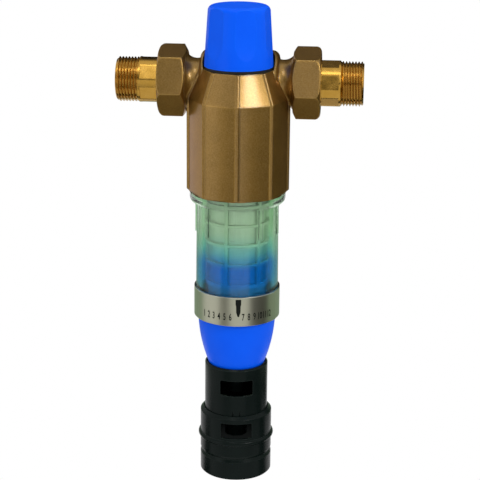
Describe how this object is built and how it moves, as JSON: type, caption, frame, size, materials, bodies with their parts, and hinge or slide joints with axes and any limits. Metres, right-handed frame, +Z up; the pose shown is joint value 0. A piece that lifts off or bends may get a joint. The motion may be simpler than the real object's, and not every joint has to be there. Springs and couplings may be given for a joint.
{
  "type": "self cleaning filter",
  "caption": "Domestic backwash water filter for a pipe: brass head with unions, clear cup with screen, month ring, blue knob and drain handwheel, and a black drain socket.",
  "frame": {"origin": "centre of the drain sleeve's mouth, the lowest point on the filter's axis", "axes": "+Z up along the filter's axis, X along the pipe with the inlet at -X, -Y to the front"},
  "size_m": [0.1834, 0.0787, 0.3641],
  "materials": {
    "cast_brass": "cast, matt",
    "turned_brass": "machined, bright",
    "blue_plastic": "moulded, satin",
    "black_plastic": "moulded, satin",
    "clear_cup_plastic": "clear green, moulded",
    "ring_metal": "brushed",
    "natural_plastic": "moulded",
    "stainless_steel": "drawn",
    "black_rubber": "moulded",
    "fibre_gasket": "cut sheet"
  },
  "bodies": {
    "filter_body": {"head_housing": "cast_brass", "head_gland": "turned_brass", "gland_o_ring": "black_rubber", "spindle_seal": "black_rubber", "knob_seat_ring": "black_rubber", "filter_cup": "clear_cup_plastic", "cup_o_ring": "black_rubber", "screen_frame": "natural_plastic", "screen_mesh": "stainless_steel", "screen_seal": "black_rubber", "drain_valve_body": "black_plastic", "valve_body_seal": "black_rubber", "valve_body_nut": "turned_brass", "wheel_washer": "natural_plastic", "outlet_nozzle": "black_plastic", "drain_tube": "black_plastic", "drain_funnel": "black_plastic", "inlet_tailpiece": "turned_brass", "outlet_tailpiece": "turned_brass", "inlet_gasket": "fibre_gasket", "outlet_gasket": "fibre_gasket"},
    "cleaner": {"top_knob": "blue_plastic", "cleaning_spindle": "stainless_steel", "suction_tube": "natural_plastic", "spindle_clip": "stainless_steel"},
    "reminder": {"month_ring": "ring_metal"},
    "drain_wheel": {"handwheel": "blue_plastic"},
    "drain_valve": {"valve_stem": "stainless_steel", "valve_plug": "natural_plastic", "valve_seal": "black_rubber", "stem_crosshead": "natural_plastic"},
    "drain_socket": {"drain_sleeve": "black_plastic", "drain_lip_seal": "black_rubber"},
    "inlet_nut": {"inlet_union_nut": "cast_brass"},
    "outlet_nut": {"outlet_union_nut": "cast_brass"}
  },
  "joints": [
    {"name": "knob_turn", "type": "hinge", "parent": "filter_body", "child": "cleaner", "pos_m": [0, 0, 0.31], "axis": [0, 0, 1], "continuous": true},
    {"name": "month_ring_turn", "type": "hinge", "parent": "filter_body", "child": "reminder", "pos_m": [0, 0, 0.14], "axis": [0, 0, 1], "continuous": true},
    {"name": "handwheel_turn", "type": "hinge", "parent": "filter_body", "child": "drain_wheel", "pos_m": [0, 0, 0.11], "axis": [0, 0, 1], "range_deg": [0, 270]},
    {"name": "valve_lift", "type": "slide", "parent": "filter_body", "child": "drain_valve", "axis": [0, 0, 1], "range_m": [0, 0.00605]},
    {"name": "socket_slide", "type": "slide", "parent": "filter_body", "child": "drain_socket", "axis": [0, 0, 1], "range_m": [0, 0.015]},
    {"name": "inlet_nut_turn", "type": "hinge", "parent": "filter_body", "child": "inlet_nut", "pos_m": [-0.057, 0.014, 0.3055], "axis": [-1, 0, 0], "continuous": true},
    {"name": "outlet_nut_turn", "type": "hinge", "parent": "filter_body", "child": "outlet_nut", "pos_m": [0.057, 0.014, 0.3055], "axis": [1, 0, 0], "continuous": true}
  ],
  "couplings": [
    {"joint": "valve_lift", "follows": "handwheel_turn", "m_per_rad": 0.0012732}
  ]
}
